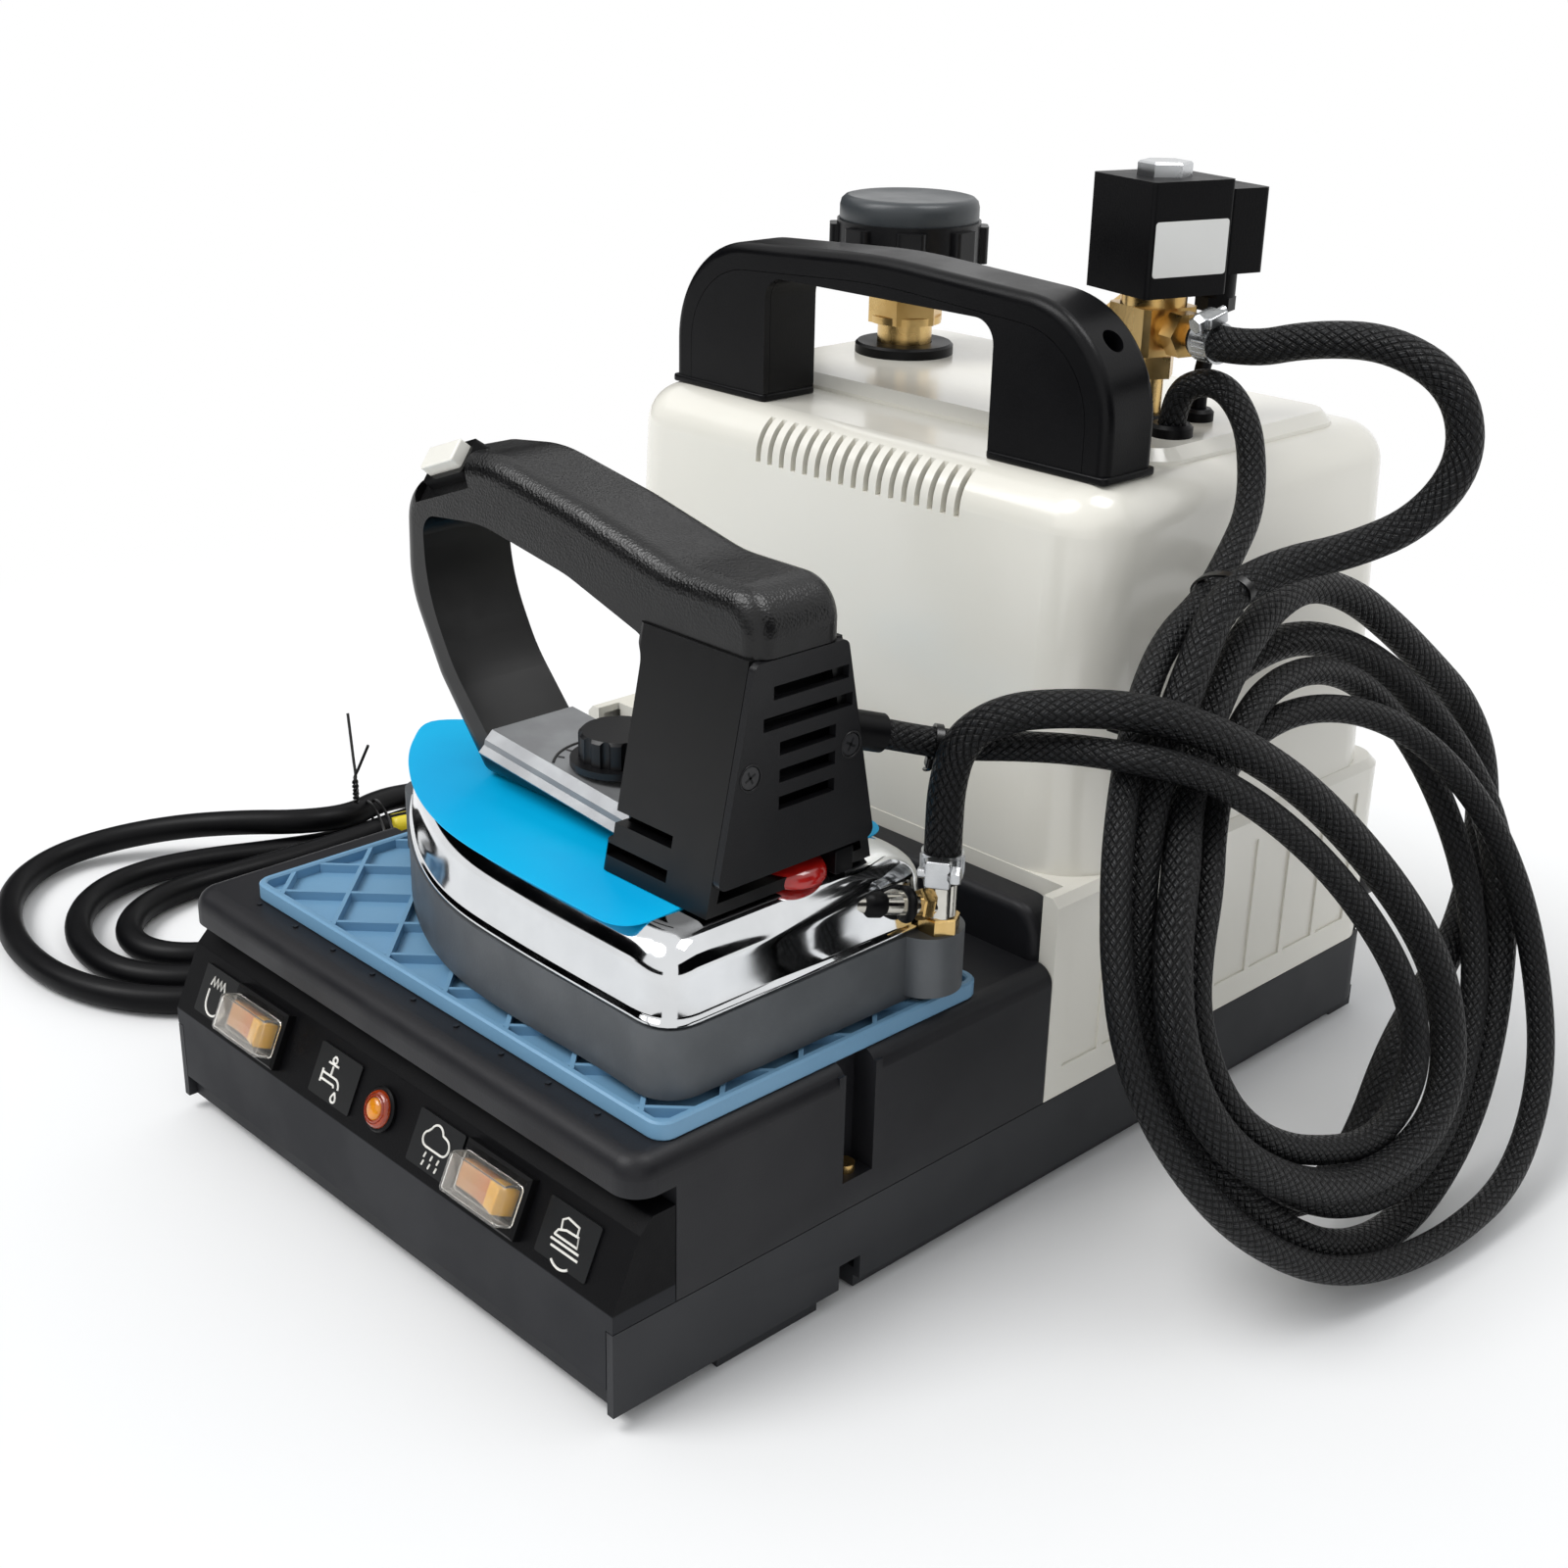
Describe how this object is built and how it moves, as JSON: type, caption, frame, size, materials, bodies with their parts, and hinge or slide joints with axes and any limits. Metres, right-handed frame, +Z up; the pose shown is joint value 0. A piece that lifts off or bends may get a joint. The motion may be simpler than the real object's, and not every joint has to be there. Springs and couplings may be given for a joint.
{
  "type": "steam_generator_iron",
  "caption": "Steam generator ironing station: boiler base with carry handle, brass filler plug, solenoid valve, silicone iron rest, hanked steam hose and cable, and a chrome-topped iron.",
  "frame": {"origin": "middle of the housing's footprint, on the floor plane under its rails", "axes": "+X to the right seen from the control panel, -Y towards the control panel, +Z up"},
  "size_m": [0.6295, 0.5352, 0.356],
  "materials": {
    "grey_shell": "fine textured dark grey coating on sheet steel",
    "dark_shell": "near-black satin coating",
    "cream_shell": "smooth glossy cream-white coating",
    "icon_white": "white moulded or printed plastic",
    "black_plastic": "fine-grained black plastic",
    "handle_black": "satin black heat-resistant plastic",
    "knob_black": "satin black plastic with a dark blue-grey crown",
    "button_pale": "pale grey polished plastic",
    "plate_black": "polished black plate with a white line glyph",
    "screw_black": "blackened steel screw",
    "clear_cover": "clear flexible splash cover",
    "amber_rocker": "translucent amber rocker",
    "orange_lamp": "orange domed lens",
    "red_lens": "translucent red lens",
    "mat_steel_blue": "light steel-blue silicone rubber with a raised lattice",
    "tank_steel": "brushed stainless steel",
    "nickel_tube": "nickel-plated tube",
    "brass_fittings": "machined brass",
    "coil_black": "moulded black coil encapsulation",
    "black_rubber": "soft black rubber",
    "braid_black": "black textile braid in a diamond weave",
    "sole_grey": "sand-cast light alloy, dull dark grey",
    "chrome_cover": "polished chrome plate",
    "cyan_film": "bright cyan protective film",
    "plate_silver": "satin anodised aluminium"
  },
  "bodies": {
    "base": {"base_tray": "grey_shell", "control_panel": "grey_shell", "icon_plates": "plate_black", "panel_bezels": "black_plastic", "switch_covers": "clear_cover", "pilot_lamp": "orange_lamp", "base_deck": "dark_shell", "iron_mat": "mat_steel_blue", "boiler_cover": "cream_shell", "boiler_tank": "tank_steel", "heating_element": "nickel_tube", "filler_neck": "brass_fittings", "neck_flange": "black_plastic", "cover_grommets": "black_rubber", "valve_pipe": "brass_fittings", "valve_body": "brass_fittings", "valve_tube": "tank_steel", "valve_coil": "coil_black", "coil_nut": "tank_steel", "valve_connector": "coil_black", "valve_cable": "black_rubber", "hose_barb": "brass_fittings", "hose_clamp": "tank_steel", "pressure_switch": "black_plastic", "safety_thermostat": "black_plastic", "terminal_block": "icon_white", "drain_spout": "black_plastic", "carry_handle": "handle_black", "handle_insert": "handle_black", "case_screws": "brass_fittings", "steam_hose_upper": "braid_black", "hose_hank": "braid_black", "steam_hose_lead": "braid_black", "iron_cable_upper": "braid_black", "iron_cable_lead": "braid_black", "power_gland": "black_plastic", "power_cord": "black_rubber", "power_cord_coil": "black_rubber", "power_plug": "black_rubber"},
    "iron": {"sole_plate": "sole_grey", "iron_cover": "chrome_cover", "film_shield": "cyan_film", "iron_handle": "handle_black", "heel_cover": "handle_black", "heel_screws": "screw_black", "label_plate": "plate_silver", "thermostat": "tank_steel", "button_bezel": "black_plastic", "iron_lamp": "red_lens", "steam_inlet": "nickel_tube", "cable_boot": "black_rubber"},
    "dial": {"thermostat_knob": "knob_black"},
    "trigger": {"steam_button": "button_pale"},
    "left_rocker": {"rocker_left": "amber_rocker"},
    "right_rocker": {"rocker_right": "amber_rocker"},
    "cap_rise": {"plug_seal": "black_rubber"},
    "cap": {"filler_plug": "brass_fittings", "filler_knob": "knob_black"},
    "plunger": {"valve_plunger": "tank_steel"}
  },
  "joints": [
    {"name": "iron_lift", "type": "slide", "parent": "base", "child": "iron", "axis": [0, 0, 1], "range_m": [0, 0.06], "deforming": ["steam_hose_lead", "iron_cable_lead"]},
    {"name": "dial_turn", "type": "hinge", "parent": "iron", "child": "dial", "pos_m": [0.0245, -0.118, 0.17], "axis": [0, 0, 1], "range_deg": [0, 300]},
    {"name": "trigger_press", "type": "slide", "parent": "iron", "child": "trigger", "axis": [0.2361, 0.7203, -0.6523], "range_m": [0, 0.003], "stiffness_N_per_m": 900},
    {"name": "left_rocker_tilt", "type": "hinge", "parent": "base", "child": "left_rocker", "pos_m": [-0.076, -0.20359, 0.05513], "axis": [0, 0.4181, 0.9084], "range_deg": [0, 16]},
    {"name": "right_rocker_tilt", "type": "hinge", "parent": "base", "child": "right_rocker", "pos_m": [0.066, -0.20359, 0.05513], "axis": [0, 0.4181, 0.9084], "range_deg": [0, 16]},
    {"name": "cap_unscrew_rise", "type": "slide", "parent": "base", "child": "cap_rise", "axis": [0, 0, 1], "range_m": [0, 0.004]},
    {"name": "cap_unscrew", "type": "hinge", "parent": "cap_rise", "child": "cap", "pos_m": [-0.075, 0.122, 0.313], "axis": [0, 0, 1], "range_deg": [0, 720]},
    {"name": "plunger_lift", "type": "slide", "parent": "base", "child": "plunger", "axis": [0, 0, 1], "range_m": [0, 0.002], "stiffness_N_per_m": 600}
  ],
  "couplings": [
    {"joint": "cap_unscrew", "follows": "cap_unscrew_rise", "rad_per_m": 3141.6}
  ]
}
